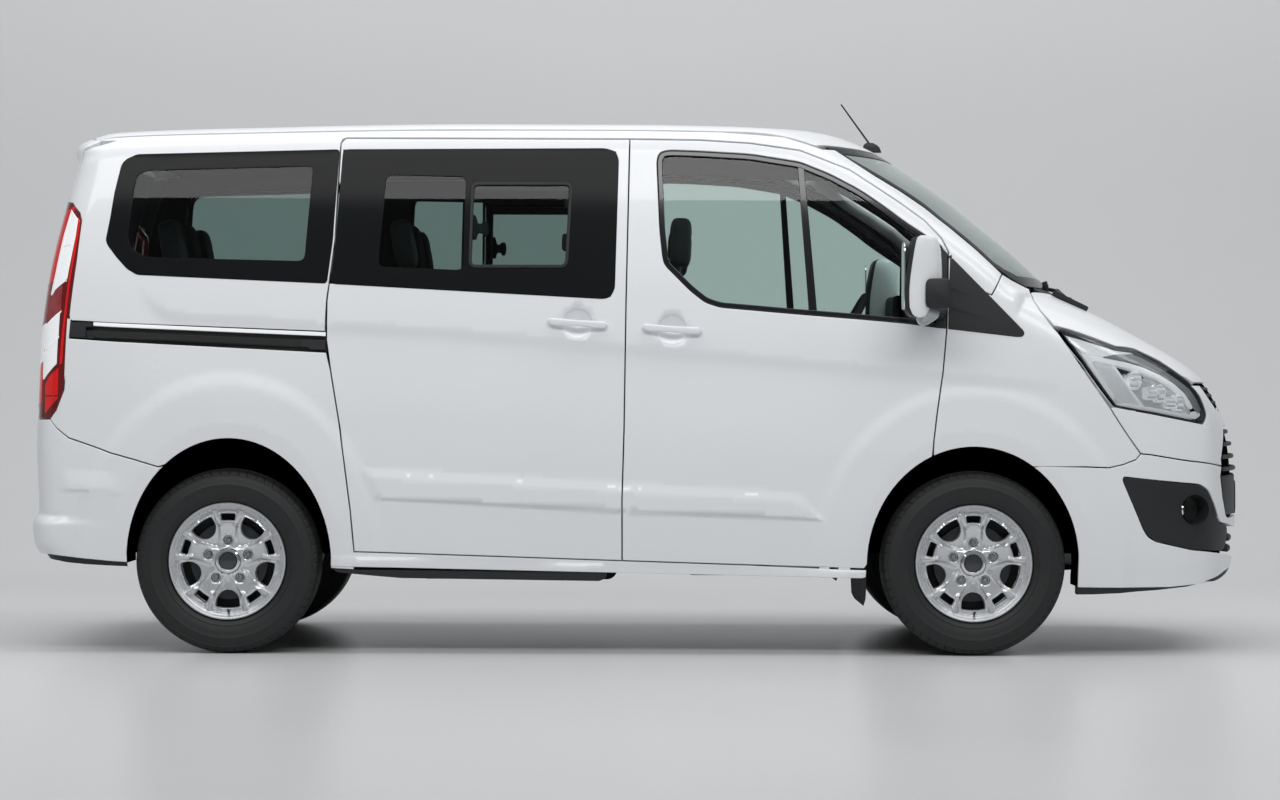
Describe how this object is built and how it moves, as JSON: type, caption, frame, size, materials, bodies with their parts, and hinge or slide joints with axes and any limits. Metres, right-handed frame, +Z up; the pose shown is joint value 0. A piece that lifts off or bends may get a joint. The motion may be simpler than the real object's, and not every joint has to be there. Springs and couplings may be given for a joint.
{
  "type": "minibus",
  "caption": "Short-nosed passenger van with hollow cabin, hinged front doors, bonnet and tailgate, steered front wheels and rows of seats.",
  "frame": {"origin": "on the ground under the middle of the overall length and width", "axes": "+X forward, +Y to the vehicle's left, +Z up"},
  "size_m": [4.8556, 2.416, 2.2113],
  "materials": {
    "body_paint": "glossy white paint",
    "side_glass": "dark tinted side glass with a black printed border",
    "windscreen_glass": "lightly tinted laminated glass",
    "black_plastic": "grained black plastic",
    "clear_lamp": "clear moulded lamp cover",
    "red_lamp": "red moulded lamp cover",
    "tyre_rubber": "black tyre rubber",
    "alloy": "silver lacquered alloy",
    "cast_steel": "dark cast and forged steel",
    "underbody_paint": "matt black underbody coating",
    "tank_plastic": "black moulded tank",
    "pipe_steel": "dull exhaust steel",
    "rod_black": "black coated rod",
    "seat_fabric": "dark woven seat cloth",
    "cabin_plastic": "dark grained cabin plastic"
  },
  "bodies": {
    "shell": {"side_panel_right": "body_paint", "side_panel_left": "body_paint", "roof_panel": "body_paint", "front_wing_right": "body_paint", "front_wing_left": "body_paint", "front_panel": "body_paint", "front_bumper": "body_paint", "rear_bumper": "body_paint", "sliding_door_right": "body_paint", "sliding_door_left": "body_paint", "quarter_glass": "side_glass", "sliding_door_glass": "side_glass", "windscreen": "windscreen_glass", "door_rails": "black_plastic", "cowl": "black_plastic", "grille": "black_plastic", "plate_bar": "black_plastic", "fog_surrounds": "black_plastic", "side_steps": "black_plastic", "mud_flaps": "black_plastic", "door_seals": "black_plastic", "headlamps": "clear_lamp", "tail_lamps": "red_lamp", "front_subframe": "cast_steel", "rear_axle": "cast_steel", "engine_block": "cast_steel", "floor_pan": "underbody_paint", "wheelhouses": "underbody_paint", "chassis_rails": "underbody_paint", "bulkhead": "underbody_paint", "fuel_tank": "tank_plastic", "exhaust": "pipe_steel", "antenna": "rod_black", "front_seats": "seat_fabric", "second_row_seats": "seat_fabric", "third_row_seats": "seat_fabric", "dashboard": "cabin_plastic", "steering_wheel": "cabin_plastic"},
    "spin_front_right": {"wheel_front_right": "alloy", "tyre_front_right": "tyre_rubber"},
    "spin_front_left": {"wheel_front_left": "alloy", "tyre_front_left": "tyre_rubber"},
    "spin_rear_right": {"wheel_rear_right": "alloy", "tyre_rear_right": "tyre_rubber"},
    "spin_rear_left": {"wheel_rear_left": "alloy", "tyre_rear_left": "tyre_rubber"},
    "hub_carrier_right": {"knuckle_right": "cast_steel"},
    "door_right": {"front_door_right": "body_paint", "front_door_glass_right": "side_glass", "door_mirror_right": "black_plastic"},
    "hub_carrier_left": {"knuckle_left": "cast_steel"},
    "door_left": {"front_door_left": "body_paint", "front_door_glass_left": "side_glass", "door_mirror_left": "black_plastic"},
    "bonnet_lid": {"bonnet": "body_paint"},
    "tail_lid": {"tailgate": "body_paint", "tailgate_glass": "side_glass"}
  },
  "joints": [
    {"name": "wheel_spin_front_right", "type": "hinge", "parent": "hub_carrier_right", "child": "spin_front_right", "pos_m": [1.28, -0.85, 0.356], "axis": [0, 1, 0], "continuous": true},
    {"name": "wheel_spin_front_left", "type": "hinge", "parent": "hub_carrier_left", "child": "spin_front_left", "pos_m": [1.28, 0.85, 0.356], "axis": [0, 1, 0], "continuous": true},
    {"name": "wheel_spin_rear_right", "type": "hinge", "parent": "shell", "child": "spin_rear_right", "pos_m": [-1.6, -0.85, 0.356], "axis": [0, 1, 0], "continuous": true},
    {"name": "wheel_spin_rear_left", "type": "hinge", "parent": "shell", "child": "spin_rear_left", "pos_m": [-1.6, 0.85, 0.356], "axis": [0, 1, 0], "continuous": true},
    {"name": "steer_right", "type": "hinge", "parent": "shell", "child": "hub_carrier_right", "pos_m": [1.28, -0.752, 0.356], "axis": [0, 0, 1], "range_deg": [-32, 32]},
    {"name": "steer_left", "type": "hinge", "parent": "shell", "child": "hub_carrier_left", "pos_m": [1.28, 0.752, 0.356], "axis": [0, 0, 1], "range_deg": [-32, 32]},
    {"name": "front_door_right_hinge", "type": "hinge", "parent": "shell", "child": "door_right", "pos_m": [1.178, -0.991, 1.1], "axis": [0, 0, 1], "range_deg": [0, 62]},
    {"name": "front_door_left_hinge", "type": "hinge", "parent": "shell", "child": "door_left", "pos_m": [1.178, 0.991, 1.1], "axis": [0, 0, -1], "range_deg": [0, 62]},
    {"name": "bonnet_hinge", "type": "hinge", "parent": "shell", "child": "bonnet_lid", "pos_m": [1.505, 0, 1.445], "axis": [0, -1, 0], "range_deg": [0, 50]},
    {"name": "tailgate_hinge", "type": "hinge", "parent": "shell", "child": "tail_lid", "pos_m": [-2.172, 0, 2.058], "axis": [0, 1, 0], "range_deg": [0, 85]}
  ],
  "couplings": [
    {"joint": "steer_left", "follows": "steer_right", "ratio": 1}
  ]
}
